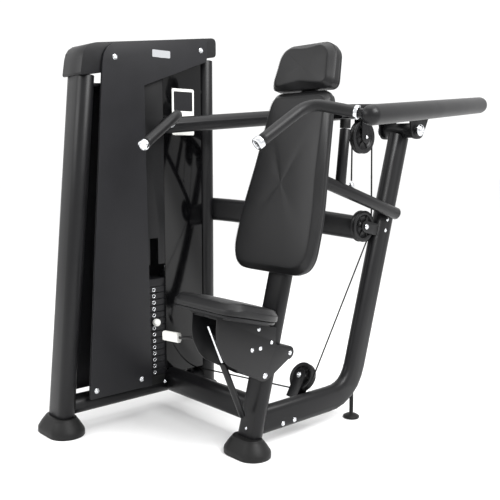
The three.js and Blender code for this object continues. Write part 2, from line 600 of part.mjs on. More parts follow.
function seat() {
  const w = SEAT.wide / 2;
  const plan = rounded([[-w, SEAT.front, 66], [w, SEAT.front, 66], [w, SEAT.front + 190, 60],
    [62, SEAT.rear, 34], [-62, SEAT.rear, 34], [-w, SEAT.front + 190, 60]]);
  const points = plan.getPoints(5).flatMap((p) => [
    v(p.x * 0.94, p.y, SEAT.under), v(p.x, p.y, SEAT.under + 14),
    v(p.x, p.y, SEAT.under + SEAT.thick - 14),
    v(p.x * 0.9, p.y * 0.96 - 8, SEAT.under + SEAT.thick)]);
  piece('seat_pad', lean(new ConvexGeometry(points)), VINYL);
  const pan = block([-84, -300, SEAT.under - 8], [84, -90, SEAT.under - GAP]);
  piece('seat_pan', lean(pan), FRAME_BLACK);

  const under = SEAT.under - 8 - GAP;
  const side = rounded([[-306, under, 3], [-292, 344, 40], [-232, 280, 30], [-52, 234, 15],
    [-24, 250, 15], [70, 340, 16], [46, 364, 12], [-28, 366, 14], [-38, under, 3]]);
  const sides = [-66, 61].map((x) => sidePlate(side, x, 5));
  const rollers = [[-48, 258, 22], [-48, 370, 22], [50, 343, 24]].map(([y, z, r]) =>
    rod(r, v(-62, y, z), v(62, y, z), 16));
  const ties = [[-130, 337], [-94, 346]].map(([y, z]) => rod(8, v(-62, y, z), v(62, y, z), 12));
  const channel = block([-62, -300, under - 5], [62, -200, under]);
  const gasSpace = rod(16, GAS.low, GAS.high.clone().addScaledVector(
    GAS.high.clone().sub(GAS.low).normalize(), 60), 12);
  piece('seat_carriage', cut(lean(join(...sides, ...rollers, ...ties, channel)), postBar(0.8),
    gasSpace), FRAME_BLACK);

  const along = GAS.high.clone().sub(GAS.low).normalize();
  const on = (d) => GAS.low.clone().addScaledVector(along, d);
  piece('gas_spring_cylinder', cut(rod(11, on(0), on(GAS.cylinder)),
    rod(5.6, on(GAS.bore), on(GAS.cylinder + 20)), postBar(GAP)), NYLON);
  piece('gas_spring_rod', rod(5, on(GAS.rodFoot), on(GAS.high.distanceTo(GAS.low) - 12)), CHROME);

  const stemPath = bentPath([v(-67, -150, 388), v(-120, -156, 388), v(-170, -160, 378)], [16]);
  piece('seat_lever', sweep(circle(5.5), stemPath, 6, 3), FRAME_BLACK);
  piece('seat_lever_grip', bar(roundRect(34, 20, 8), v(-172, -160, 378), v(-250, -166, 374),
    Z_AXIS), WHITE_GRIP);
}

mainFrame();
tower();
weightStack();
pulleys();
cables();
pressArm();
pads();
seat();
machine.position.z = -FLOOR;

export default machine;
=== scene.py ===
# %% [markdown]
# # A shoulder press machine, finished in Blender
# The steel structure is already built, to size and with its joints. This script loads it as a fixed
# frame and gives it its looks: upholstery, turned wheels, moulded boots, bolts, grips and a finish
# for every surface. Nothing here moves or resizes the structure.

import json
import math

import bmesh
import bpy
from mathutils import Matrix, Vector


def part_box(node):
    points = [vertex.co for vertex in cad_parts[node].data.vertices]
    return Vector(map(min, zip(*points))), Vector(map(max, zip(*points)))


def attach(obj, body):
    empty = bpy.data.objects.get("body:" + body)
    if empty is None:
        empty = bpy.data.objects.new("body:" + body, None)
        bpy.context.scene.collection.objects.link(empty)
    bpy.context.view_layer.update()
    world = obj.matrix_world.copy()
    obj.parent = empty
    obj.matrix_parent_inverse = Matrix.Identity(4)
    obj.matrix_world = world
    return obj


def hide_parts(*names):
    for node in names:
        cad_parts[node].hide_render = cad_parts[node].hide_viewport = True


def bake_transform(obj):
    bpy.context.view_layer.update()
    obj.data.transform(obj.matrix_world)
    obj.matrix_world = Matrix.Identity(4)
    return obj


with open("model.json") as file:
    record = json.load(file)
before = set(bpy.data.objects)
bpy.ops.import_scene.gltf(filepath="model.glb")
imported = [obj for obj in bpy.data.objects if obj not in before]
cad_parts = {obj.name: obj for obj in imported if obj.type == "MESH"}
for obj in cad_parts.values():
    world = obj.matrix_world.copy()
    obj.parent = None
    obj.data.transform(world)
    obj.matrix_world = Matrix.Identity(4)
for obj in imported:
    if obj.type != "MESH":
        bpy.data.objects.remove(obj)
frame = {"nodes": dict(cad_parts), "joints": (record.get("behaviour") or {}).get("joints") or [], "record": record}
nodes = frame["nodes"]
joints = {j["name"]: j for j in frame["joints"]}
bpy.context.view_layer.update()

# %% [markdown]
# ## Places
# The seat post leans back, and the seat slides along it, so that joint's axis is the lean. Anything
# that leans with the post is easiest to draw with the post upright and then tip into place. Sizes
# are in millimetres, as on a drawing, and one function turns them into metres on the machine.

# %% Millimetres to metres, upright and leaning
MM = 0.001
FLOOR_GAP = 30          # heights on the drawing are measured from 30 mm above the floor
POST_FOOT_Y = 4         # where the post's centre line meets that height

slide = joints["seat_height"]["axis"]
LEAN = math.atan2(slide[1], slide[2])


def upright(x, y, z):
    """A drawing point that stands upright."""
    return Vector((x, y, z + FLOOR_GAP)) * MM


def leaning(x, y, z):
    """A drawing point that leans with the seat post: z runs up the post, -y to the user's front."""
    return upright(x, y * math.cos(LEAN) + z * math.sin(LEAN) + POST_FOOT_Y,
                   z * math.cos(LEAN) - y * math.sin(LEAN))


def post_direction(x, y, z):
    return (leaning(x, y, z) - leaning(0, 0, 0)).normalized()


print("the post leans", round(math.degrees(LEAN), 1), "degrees")

# %% [markdown]
# ## The camera
# The machine is seen from its front left corner, a little above the handles, with a normal lens. The
# camera is made first, so that everything after it can be judged from the same place.

# %% Camera
VIEW_FROM = Vector((1.860, -1.657, 1.030))
VIEW_ALONG = Vector((-0.744, 0.668, 0)).normalized()
VIEW_DOWN = math.radians(7.2)
LENS = 53.8

camera = bpy.data.objects.new("camera", bpy.data.cameras.new("camera"))
bpy.context.scene.collection.objects.link(camera)
camera.data.lens = LENS
camera.location = VIEW_FROM
looking = VIEW_ALONG * math.cos(VIEW_DOWN) - Vector((0, 0, math.sin(VIEW_DOWN)))
camera.rotation_euler = looking.to_track_quat("-Z", "Y").to_euler()
bpy.context.scene.camera = camera
print("camera at", tuple(round(c, 2) for c in camera.location))

# %% [markdown]
# ## Building materials
# A given colour is an sRGB value, and the shaders work in linear light, so one function
# converts. A second adds a node, sets it up and links it, and a third joins the finished nodes to
# the shader, which keeps each material down to the lines that say something about the real surface.

# %% Colour and node helpers


def linear(hex_colour):
    """An sRGB hex colour as linear red, green, blue and alpha."""
    channels = [int(hex_colour[i:i + 2], 16) / 255 for i in (1, 3, 5)]
    return [c / 12.92 if c <= 0.04045 else ((c + 0.055) / 1.055) ** 2.4 for c in channels] + [1]


def add(tree, kind, inputs=None, **settings):
    """Adds a node. An input is a value, or the socket that feeds it."""
    node = tree.nodes.new(kind)
    for name, value in settings.items():
        setattr(node, name, value)
    for name, value in (inputs or {}).items():
        if isinstance(value, bpy.types.NodeSocket):
            tree.links.new(value, node.inputs[name])
        else:
            node.inputs[name].default_value = value
    return node


def new_material(name, **shader_values):
    """A material with its shader's values set. Returns it with its tree and shader."""
    material = bpy.data.materials.new(name)
    material.use_nodes = True
    shader = material.node_tree.nodes["Principled BSDF"]
    for socket, value in shader_values.items():
        shader.inputs[socket.replace("_", " ")].default_value = value
    return material, material.node_tree, shader


def per_metre(size_mm):
    """The texture scale that gives a pattern features of this size."""
    return 1 / (size_mm * MM)


def join_up(tree, shader, tint, gloss, bump):
    """Links a finish's colour, roughness and fine relief to its shader."""
    tree.links.new(tint.outputs["Color"], shader.inputs["Base Color"])
    tree.links.new(gloss.outputs["Result"], shader.inputs["Roughness"])
    tree.links.new(bump.outputs["Normal"], shader.inputs["Normal"])


# %% [markdown]
# ## Powder coat
# The tubes are mild steel, blasted, dusted with black polyester powder and baked. The powder melts
# into a satin skin with a faint orange peel and tiny changes in gloss. It is a plastic film over
# steel, so it isn't metallic. Real orange peel is about 1 mm across, too fine to see from here, so
# it is drawn at 3 mm.

# %% Powder coat


def powder_coat(name, dark, light, rough):
    """A baked coat between two hex colours, with its middle roughness."""
    material, tree, shader = new_material(name, IOR=1.5, Metallic=0.0, Specular_IOR_Level=0.25)
    place = add(tree, "ShaderNodeTexCoord").outputs["Object"]
    cloud = add(tree, "ShaderNodeTexNoise", {"Vector": place, "Scale": per_metre(90), "Detail": 4.0})
    peel = add(tree, "ShaderNodeTexNoise", {"Vector": place, "Scale": per_metre(3), "Detail": 2.0})
    tint = add(tree, "ShaderNodeValToRGB", {"Fac": cloud.outputs["Fac"]})
    tint.color_ramp.elements[0].color = linear(dark)
    tint.color_ramp.elements[1].color = linear(light)
    gloss = add(tree, "ShaderNodeMapRange", {
        "Value": cloud.outputs["Fac"], "To Min": rough - 0.05, "To Max": rough + 0.07})
    bump = add(tree, "ShaderNodeBump", {
        "Height": peel.outputs["Fac"], "Strength": 0.12, "Distance": 0.0006})
    join_up(tree, shader, tint, gloss, bump)
    return material


frame_coat = powder_coat("satin_black_powder_coat", "#0b0b0c", "#121214", 0.36)
shroud_coat = powder_coat("charcoal_texture_powder_coat", "#151517", "#1c1c1f", 0.46)
print("powder coats:", frame_coat.name, shroud_coat.name)

# %% [markdown]
# ## Upholstery vinyl
# The pads wear PVC on a knitted backing, embossed from hide so it has small pebbles between fine
# creases. New vinyl is satin with a soft highlight. Cells from a Voronoi pattern give the pebbles.
# The real ones are near 1 mm, and 2.5 mm is the least that shows at all.

# %% Vinyl
vinyl, tree, shader = new_material("black_pvc_upholstery", IOR=1.52, Coat_Weight=0.06,
                                   Coat_Roughness=0.3, Specular_IOR_Level=0.25)
place = add(tree, "ShaderNodeTexCoord").outputs["Object"]
warp = add(tree, "ShaderNodeTexNoise", {"Vector": place, "Scale": per_metre(8), "Detail": 3.0})
bent = add(tree, "ShaderNodeMixRGB", {"Fac": 0.012, "Color1": place, "Color2": warp.outputs["Color"]})
pebbles = add(tree, "ShaderNodeTexVoronoi", {"Vector": bent.outputs["Color"],
                                             "Scale": per_metre(2.5)})
wear = add(tree, "ShaderNodeTexNoise", {"Vector": place, "Scale": per_metre(120), "Detail": 5.0})
tint = add(tree, "ShaderNodeValToRGB", {"Fac": wear.outputs["Fac"]})
tint.color_ramp.elements[0].color = linear("#0e0e0f")
tint.color_ramp.elements[1].color = linear("#171718")
gloss = add(tree, "ShaderNodeMapRange", {"Value": wear.outputs["Fac"], "To Min": 0.34, "To Max": 0.5})
bump = add(tree, "ShaderNodeBump", {"Height": pebbles.outputs["Distance"], "Strength": 0.25,
                                    "Distance": 0.0005})
join_up(tree, shader, tint, gloss, bump)
print("vinyl pebbles every 2.5 mm")

# %% [markdown]
# ## Rubber, nylon and thread
# The boots, bumper and grips are moulded rubber, matt with a dusting of lighter bloom. The wheels and
# the tower's cap are moulded nylon or ABS: smoother, with a soft sheen. One function covers both,
# because they differ only in colour, gloss and how coarse the moulded texture is.

# %% Moulded parts


def moulded(name, dark, light, rough, grain_mm, depth):
    """Rubber or plastic with a moulded grain of this size and depth."""
    material, tree, shader = new_material(name, IOR=1.5, Specular_IOR_Level=0.25)
    place = add(tree, "ShaderNodeTexCoord").outputs["Object"]
    bloom = add(tree, "ShaderNodeTexNoise", {"Vector": place, "Scale": per_metre(40), "Detail": 6.0})
    grain = add(tree, "ShaderNodeTexNoise", {"Vector": place, "Scale": per_metre(grain_mm)})
    tint = add(tree, "ShaderNodeValToRGB", {"Fac": bloom.outputs["Fac"]})
    tint.color_ramp.elements[0].color = linear(dark)
    tint.color_ramp.elements[1].color = linear(light)
    gloss = add(tree, "ShaderNodeMapRange", {
        "Value": bloom.outputs["Fac"], "To Min": rough - 0.06, "To Max": rough + 0.08})
    bump = add(tree, "ShaderNodeBump", {
        "Height": grain.outputs["Fac"], "Strength": depth, "Distance": 0.0005})
    join_up(tree, shader, tint, gloss, bump)
    return material


rubber = moulded("moulded_black_rubber", "#0d0d0d", "#161616", 0.5, 2, 0.25)
grip_rubber = moulded("foam_rubber_grip", "#0f0f10", "#19191a", 0.42, 1.5, 0.3)
nylon = moulded("black_nylon", "#101011", "#19191a", 0.34, 2, 0.1)
abs_cap = moulded("black_abs", "#121213", "#1a1a1c", 0.4, 2, 0.18)
white_knob = moulded("white_polypropylene", "#dcdcd8", "#eeeeea", 0.4, 2, 0.05)
thread = moulded("black_polyester_thread", "#1b1b1c", "#28282a", 0.6, 1, 0.4)
cable_skin = moulded("nylon_cable_jacket", "#0c0c0c", "#151515", 0.35, 2, 0.05)
print("moulded materials made")

# %% [markdown]
# ## Gloss acrylic, chrome and painted iron
# The rear panel of the tower is black acrylic, polished like a mirror. Chrome plate is nearly a
# mirror too, with faint polishing marks. Weight plates are iron under a semi-gloss paint, rougher
# than the tubes. A metal keeps the default IOR, since its colour does that work.

# %% Hard finishes
acrylic, tree, shader = new_material("black_cast_acrylic", IOR=1.49, Specular_IOR_Level=0.3)
place = add(tree, "ShaderNodeTexCoord").outputs["Object"]
haze = add(tree, "ShaderNodeTexNoise", {"Vector": place, "Scale": per_metre(60), "Detail": 6.0})
gloss = add(tree, "ShaderNodeMapRange", {"Value": haze.outputs["Fac"], "To Min": 0.04, "To Max": 0.12})
shader.inputs["Base Color"].default_value = linear("#050506")
tree.links.new(gloss.outputs["Result"], shader.inputs["Roughness"])

chrome, tree, shader = new_material("polished_chrome", Metallic=1.0)
place = add(tree, "ShaderNodeTexCoord").outputs["Object"]
marks = add(tree, "ShaderNodeTexNoise", {"Vector": place, "Scale": per_metre(5), "Detail": 3.0})
gloss = add(tree, "ShaderNodeMapRange", {"Value": marks.outputs["Fac"], "To Min": 0.06, "To Max": 0.2})
shader.inputs["Base Color"].default_value = linear("#d9dbde")
tree.links.new(gloss.outputs["Result"], shader.inputs["Roughness"])

plate_paint = powder_coat("semi_gloss_plate_paint", "#121214", "#1c1c1e", 0.42)
print("hard finishes made")

# %% [markdown]
# ## Dressing the structure
# Every steel piece keeps its shape and gets its finish. Punched and welded steel never has a
# knife edge, and a rounded edge catches the light, which is most of what tells the eye that it is
# real. Modifiers do that without touching the mesh: merge the flat triangles, bevel what is sharp,
# and let round tubes shade smoothly.

# %% Which finish each piece of the structure wears
FINISHES = {
    "frame_steel": frame_coat, "shroud_steel": shroud_coat, "acrylic": acrylic, "vinyl": vinyl,
    "rubber": rubber, "chrome": chrome, "nylon": nylon, "plate_steel": plate_paint,
    "white_grip": white_knob, "cable": cable_skin,
}
EDGE_MM = 1.2
slots = {p["node"]: p["material_slot"] for p in frame["record"]["subparts"]}


def soften(piece, width_mm=EDGE_MM):
    """Rounds the sharp edges of a hard piece and shades the rest smoothly."""
    for polygon in piece.data.polygons:
        polygon.use_smooth = True
    weld = piece.modifiers.new("weld", "WELD")
    weld.merge_threshold = 0.00002
    flat = piece.modifiers.new("merge flats", "DECIMATE")
    flat.decimate_type = "DISSOLVE"
    flat.angle_limit = math.radians(1)
    edge = piece.modifiers.new("edge", "BEVEL")
    edge.width = width_mm * MM
    edge.segments = 2
    edge.angle_limit = math.radians(32)
    edge.harden_normals = True
    return piece


for name, node in nodes.items():
    node.data.materials.clear()
    node.data.materials.append(FINISHES[slots[name]])
    soften(node)
nodes["tower_cap"].data.materials[0] = abs_cap
nodes["stop_bumper"].data.materials[0] = rubber
print("finished", len(nodes), "pieces of the structure")

# %% [markdown]
# ## Skins, turned parts and sweeps
# Three ways of making a surface cover nearly everything: a skin over a stack of rings, a profile
# turned on a lathe, and a round section swept along a path. Turning and sweeping are stacks of
# rings too, so one function makes the mesh for all three.

# %% Mesh helpers


def skin(name, rings, material, smooth=True):
    """Skins a stack of rings with equal numbers of points into one closed mesh.

    A stack that comes back to its first ring has a bore through it, so it takes no end caps.
    """
    count = len(rings[0])
    faces = [(a * count + i, a * count + (i + 1) % count,
              (a + 1) * count + (i + 1) % count, (a + 1) * count + i)
             for a in range(len(rings) - 1) for i in range(count)]
    if any((Vector(a) - Vector(b)).length > 1e-6 for a, b in zip(rings[0], rings[-1])):
        last = (len(rings) - 1) * count
        faces += [tuple(range(count)), tuple(range(last, last + count))]
    mesh = bpy.data.meshes.new(name)
    mesh.from_pydata([p for ring in rings for p in ring], [], faces)
    tidy = bmesh.new()
    tidy.from_mesh(mesh)
    bmesh.ops.remove_doubles(tidy, verts=tidy.verts, dist=1e-6)
    bmesh.ops.recalc_face_normals(tidy, faces=tidy.faces)
    tidy.to_mesh(mesh)
    tidy.free()
    for polygon in mesh.polygons:
        polygon.use_smooth = smooth
    mesh.materials.append(material)
    piece = bpy.data.objects.new(name, mesh)
    bpy.context.scene.collection.objects.link(piece)
    return piece


def basis(direction):
    """Two directions square to this one, and to each other."""
    along = Vector(direction).normalized()
    helper = Vector((0, 0, 1)) if abs(along.z) < 0.9 else Vector((0, 1, 0))
    side = along.cross(helper).normalized()
    return side, along.cross(side)


def turned_rings(profile, origin, direction, segments=32):
    """Rings of a turned part: the profile is radius and height pairs in millimetres."""
    along = Vector(direction).normalized()
    side, up = basis(along)
    turn = [2 * math.pi * i / segments for i in range(segments)]
    return [[Vector(origin) + along * h * MM
             + (side * math.cos(a) + up * math.sin(a)) * max(r, 0.01) * MM for a in turn]
            for r, h in profile]


def swept_rings(path, radius_mm, segments=20):
    """Rings of a round section carried along a path without twisting."""
    rings = []
    side = None
    for i, point in enumerate(path):
        ahead = path[min(i + 1, len(path) - 1)] - path[max(i - 1, 0)]
        along = ahead.normalized()
        side = basis(along)[0] if side is None else (side - along * side.dot(along)).normalized()
        up = along.cross(side)
        rings.append([point + (side * math.cos(a) + up * math.sin(a)) * radius_mm * MM
                      for a in (2 * math.pi * k / segments for k in range(segments))])
    return rings


def joined(name, pieces):
    """Several pieces as one object."""
    with bpy.context.temp_override(active_object=pieces[0], selected_editable_objects=pieces):
        bpy.ops.object.join()
    pieces[0].name = name
    return pieces[0]


def rounded(corners, count):
    """Evenly spaced points round an outline whose corners are [x, y, radius], in millimetres."""
    fine = []
    for i, (x, y, r) in enumerate(corners):
        here = Vector((x, y))
        before = (Vector(corners[i - 1][:2]) - here).normalized() * r + here
        after = (Vector(corners[(i + 1) % len(corners)][:2]) - here).normalized() * r + here
        for k in range(13):
            t = k / 12
            fine.append(before * (1 - t) ** 2 + here * 2 * t * (1 - t) + after * t * t)
    fine.append(fine[0])
    lengths = [0.0]
    for a, b in zip(fine, fine[1:]):
        lengths.append(lengths[-1] + (b - a).length)
    points = []
    j = 0
    for i in range(count):
        want = lengths[-1] * i / count
        while lengths[j + 1] < want:
            j += 1
        span = lengths[j + 1] - lengths[j]
        points.append(fine[j].lerp(fine[j + 1], (want - lengths[j]) / span if span else 0))
    return points


print("helpers ready")

# %% [markdown]
# ## How a pad is made
# A gym pad is a plywood board with firm foam on it and vinyl pulled over and stapled behind. The
# cover is cut in panels: a face, a sloping band round it and a side. The seams hold the vinyl down
# and the foam pushes each panel out between them. So the pad starts as flat panels, the seams are
# pinned, and Blender's cloth solver blows the panels out by a few millimetres. Foam is firm, so a
# cap on the movement keeps the face nearly flat, as the real one is.

# %% Panels, seams and swelling
ROUND_COUNT = 132       # points round a pad
FACE_STEPS = 12
SWELL_FRAMES = 20
SWELL_PRESSURE = 4.0


def inward(outline, inset):
    """The outline moved towards its middle by a distance."""
    middle = sum(outline, Vector((0, 0))) / len(outline)
    return [p + (middle - p).normalized() * inset for p in outline]


def pad_rings(outline, side, shoulder, inset, face, crown):
    """Rings from the board to the middle of the face. Each is (points, height, is a seam)."""
    levels = [(3, side, True), (0, side + 3, False), (0, (side + shoulder) / 2, False),
              (0, shoulder - 3, False), (1, shoulder, True)]
    for k in range(1, 5):
        t = k / 5
        levels.append((1 + (inset - 1) * t, shoulder + (face - shoulder) * t, False))
    levels.append((inset, face, True))
    rings = [(inward(outline, i), height, seam) for i, height, seam in levels]
    rim = rings[-1][0]
    middle = sum(rim, Vector((0, 0))) / len(rim)
    for k in range(1, FACE_STEPS):
        t = k / FACE_STEPS
        rings.append(([p.lerp(middle, t) for p in rim], face + crown * math.sin(t * math.pi / 2),
                      False))
    rings.append(([middle + (p - middle) * 0.01 for p in rim], face + crown, False))
    return rings


def swell(piece, seams, most_mm):
    """Lets the cloth solver push the panels out between pinned seams, by a capped amount."""
    group = piece.vertex_groups.new(name="seams")
    group.add(seams, 1.0, "REPLACE")
    cloth = piece.modifiers.new("swell", "CLOTH")
    cloth.settings.vertex_group_mass = group.name
    cloth.settings.use_pressure = True
    cloth.settings.uniform_pressure_force = SWELL_PRESSURE
    cloth.settings.effector_weights.gravity = 0
    for step in range(1, SWELL_FRAMES + 1):
        bpy.context.scene.frame_set(step)
    graph = bpy.context.evaluated_depsgraph_get()
    swollen = piece.evaluated_get(graph).data
    moves = [after.co - before.co for before, after in zip(piece.data.vertices, swollen.vertices)]
    piece.modifiers.remove(cloth)
    bpy.context.scene.frame_set(1)
    for vertex, move in zip(piece.data.vertices, moves):
        if move.length > 1e-7:
            cap = most_mm * MM
            vertex.co += move.normalized() * cap * math.tanh(move.length / cap)
    print(piece.name, "swelled by up to", round(max(m.length for m in moves) * 1000, 1), "mm")


def pad(name, node, body, outline, place, heights, most_mm):
    """A covered pad: its panels are placed by a function of across, along and height."""
    rings = pad_rings(outline, **heights)
    piece = skin(name, [[place(p.x, p.y, h) for p in points] for points, h, _ in rings], vinyl)
    seams = [i for i, v in enumerate(piece.data.vertices)
             if i // ROUND_COUNT < len(rings) and rings[i // ROUND_COUNT][2]]
    swell(piece, seams, most_mm)
    smooth = piece.modifiers.new("smooth", "SUBSURF")
    smooth.levels = smooth.render_levels = 1
    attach(piece, body)
    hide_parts(node)
    return piece


# %% [markdown]
# ## Stitching
# Each seam is sewn with bonded thread, a stitch about every 6 mm. Each stitch is a small rounded
# spindle that lies along the seam. They are all one mesh, because that is how they go together.

# %% Stitches
STITCH_EVERY = 6
STITCH_SIDES = 6
STITCH = [(0.3, 0), (0.7, 0.6), (0.8, 2), (0.7, 3.4), (0.3, 4)]     # radius, length along


def stitches(name, body, outline, place, inset, height):
    """One mesh of stitches along a seam at this inset and height."""
    path = [place(p.x, p.y, height + 0.6) for p in inward(outline, inset)]
    path.append(path[0])
    length = sum((b - a).length for a, b in zip(path, path[1:]))
    count = int(length / (STITCH_EVERY * MM))
    pieces = []
    travelled = 0.0
    wanted = 0
    for a, b in zip(path, path[1:]):
        span = (b - a).length
        while wanted < count and wanted * length / count <= travelled + span:
            start = a.lerp(b, (wanted * length / count - travelled) / span)
            pieces.append(turned_rings(STITCH, start, b - a, STITCH_SIDES))
            wanted += 1
        travelled += span
    mesh = bpy.data.meshes.new(name)
    points = []
    faces = []
    for rings in pieces:
        base = len(points)
        points += [p for ring in rings for p in ring]
        around = range(STITCH_SIDES)
        for r in range(len(STITCH) - 1):
            here = base + r * STITCH_SIDES
            ahead = here + STITCH_SIDES
            faces += [(here + i, here + (i + 1) % STITCH_SIDES,
                       ahead + (i + 1) % STITCH_SIDES, ahead + i) for i in around]
        last = base + STITCH_SIDES * (len(STITCH) - 1)
        faces += [tuple(base + STITCH_SIDES - 1 - i for i in around), tuple(last + i for i in around)]
    mesh.from_pydata(points, [], faces)
    mesh.materials.append(thread)
    for polygon in mesh.polygons:
        polygon.use_smooth = True
    piece = bpy.data.objects.new(name, mesh)
    bpy.context.scene.collection.objects.link(piece)
    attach(piece, body)
    print(name, "has", count, "stitches")
    return piece


# %% [markdown]
# ## Back pad and head pad
# The back pad is widest at the shoulder blades and narrows to the neck. The head pad sits on the
# same spine, a finger's width above it, and stands a little further forward.

# %% Back pad and head pad
BOARD = 10              # thickness of the plywood behind each pad
BACK_OUTLINE = [[-192, 606, 84], [192, 606, 84], [196, 800, 90], [135, 1246, 34], [-135, 1246, 34],
                [-196, 800, 90]]
HEAD_OUTLINE = [[-150, 1252, 34], [150, 1252, 34], [132, 1392, 30], [92, 1416, 20],
                [-92, 1416, 20], [-132, 1392, 30]]
BACK_HEIGHTS = {"side": BOARD + 33, "shoulder": 63, "inset": 24, "face": 81, "crown": 3}
HEAD_HEIGHTS = {"side": BOARD + 33, "shoulder": 71, "inset": 24, "face": 92, "crown": 4}


def on_post(x, z, height):
    """Across, up the post, and out towards the user."""
    return leaning(x, -height, z)


for label, node, corners, heights in (("back_cushion", "back_pad", BACK_OUTLINE, BACK_HEIGHTS),
                                      ("head_cushion", "head_pad", HEAD_OUTLINE, HEAD_HEIGHTS)):
    outline = rounded(corners, ROUND_COUNT)
    pad(label, node, "root", outline, on_post, heights, 5)
    stitches(label + "_face_stitching", "root", outline, on_post, heights["inset"],
             heights["face"] + 0.8)
    stitches(label + "_side_stitching", "root", outline, on_post, 1, heights["shoulder"])
    board = skin(label + "_board", [[on_post(p.x, p.y, h) for p in inward(outline, i)]
                                    for i, h in ((8, 33), (5, 34), (5, 33 + BOARD))], abs_cap,
                 smooth=False)
    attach(soften(board), "root")

# %% [markdown]
# ## Seat
# The seat is drawn flat and leans back with the post. Its front edge rolls down like a waterfall so
# that it doesn't cut into the thighs, and its rear tapers in to pass between the rider's hips and
# the post. It moves with the carriage, so it rides on the seat's body.

# %% Seat
SEAT_UNDER = 432
SEAT_THICK = 58
SEAT_FRONT = -340
SEAT_REAR = -33
ROLL = 70               # how far back the waterfall edge reaches
ROLL_DROP = 15
REAR_DIP = 9
SEAT_OUTLINE = [[-166, SEAT_FRONT, 66], [166, SEAT_FRONT, 66], [166, -150, 60],
                [62, SEAT_REAR, 34], [-62, SEAT_REAR, 34], [-166, -150, 60]]
SEAT_HEIGHTS = {"side": 10, "shoulder": 34, "inset": 16, "face": SEAT_THICK - 4, "crown": 3}


def on_seat(x, y, height):
    """Across, back along the seat, and up from its underside."""
    high = height / SEAT_THICK
    near_front = max(0, 1 - (y - SEAT_FRONT) / ROLL)
    back = (y - SEAT_FRONT) / (SEAT_REAR - SEAT_FRONT)
    return leaning(x, y, SEAT_UNDER + height - high * (ROLL_DROP * near_front ** 2
                                                       + REAR_DIP * back ** 2))


outline = rounded(SEAT_OUTLINE, ROUND_COUNT)
pad("seat_cushion", "seat_pad", "seat", outline, on_seat, SEAT_HEIGHTS, 5)
stitches("seat_side_stitching", "seat", outline, on_seat, 1, SEAT_HEIGHTS["shoulder"])
board = skin("seat_board", [[on_seat(p.x, p.y, h) for p in inward(outline, i)]
                            for i, h in ((9, 0.5), (6, 1.5), (6, 10))], abs_cap, smooth=False)
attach(soften(board), "seat")

# %% [markdown]
# ## Pulley wheels
# The wheels are glass-filled nylon, moulded with a groove for the cable, a thin web and six ribs,
# and each runs on a ball bearing whose steel face shows at the hub. The ribs also make the turning
# visible. Each wheel rides on the body that its joint turns.

# %% Pulley wheels
CABLE_R = 3.2
HALF = 12               # half the wheel's width
RIBS = 6
PULLEYS = {"arm_pulley": 58, "mid_pulley": 56, "low_pulley": 50, "tower_base_pulley": 34,
           "top_pulley_front": 50, "top_pulley_rear": 50}


def wheel_profile(r):
    """The closed section of a wheel: hub, thin web, rim and cable groove."""
    floor = r - CABLE_R
    groove = [(floor + 3.4 * (1 - math.cos(a)), 3.4 * math.sin(a) * 1.15)
              for a in (math.radians(d) for d in range(-80, 81, 20))]
    return [(9.2, -HALF + 1), (16, -HALF + 1), (17, -HALF + 2), (17, -4), (r * 0.78, -4),
            (r * 0.80, -HALF + 3), (r * 0.84, -HALF + 1), (r + 4, -HALF + 1),
            (r + 5, -HALF + 2), (r + 5, -HALF + 3)] + groove + [
            (r + 5, HALF - 3), (r + 5, HALF - 2), (r + 4, HALF - 1), (r * 0.84, HALF - 1),
            (r * 0.80, HALF - 3), (r * 0.78, 4), (17, 4), (17, HALF - 2), (16, HALF - 1),
            (9.2, HALF - 1), (9.2, -HALF + 1)]


def rib_rings(centre, axis, angle, inner, outer):
    """Rings of one rib of the web, a flat bar from the hub to the rim."""
    side, up = basis(axis)
    along = side * math.cos(angle) + up * math.sin(angle)
    across = Vector(axis).normalized().cross(along)
    out = Vector(axis).normalized()
    return [[centre + (along * d + across * x + out * z) * MM
             for x, z in ((-2, -8), (2, -8), (2, 8), (-2, 8))] for d in (inner, outer)]


for name, r in PULLEYS.items():
    joint = joints[name + "_spin"]
    centre, axis = Vector(joint["pos_m"]), Vector(joint["axis"])
    wheel = skin(name + "_wheel", turned_rings(wheel_profile(r), centre, axis, 56), nylon)
    ribs = [skin(name + "_rib", rib_rings(centre, axis, 2 * math.pi * k / RIBS, 15, r * 0.8), nylon,
                 smooth=False) for k in range(RIBS)]
    wheel = joined(name + "_wheel", [wheel] + ribs)
    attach(wheel, joint["child"])
    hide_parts(name)
    race = [(9.4, -HALF + 0.4), (14.5, -HALF + 0.4), (14.5, HALF - 0.4), (9.4, HALF - 0.4),
            (9.4, -HALF + 0.4)]
    bearing = skin(name + "_bearing", turned_rings(race, centre, axis, 40), chrome)
    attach(soften(bearing, 0.4), joint["child"])
print("turned", len(PULLEYS), "wheels")

# %% [markdown]
# ## Bolts
# Bright plated dome-head bolts hold everything together. Each is turned: a washer, a low dome and a
# socket in the middle. The bolts of one joint are one mesh, named for where they are.

# %% Bolt helper


def bolts(name, body, places):
    """Dome-head bolts. Each place is a point in metres, the way it faces, and its radius in mm."""
    made = []
    for point, facing, r in places:
        profile = [(r * 1.35, -1), (r * 1.35, 0.8), (r * 1.28, 1.2), (r * 1.02, 1.2),
                   (r, r * 0.30), (r * 0.92, r * 0.48), (r * 0.72, r * 0.62), (r * 0.46, r * 0.70),
                   (r * 0.42, r * 0.66), (r * 0.40, r * 0.2), (0.05, r * 0.2)]
        made.append(skin(name, turned_rings(profile, point, facing, 28), chrome))
    group = joined(name, made) if len(made) > 1 else made[0]
    group.name = name
    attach(group, body)
    return group


# %% [markdown]
# The seat carriage's plates carry the roller axles and the tie bolts on both sides. The axle ends
# are the larger ones.

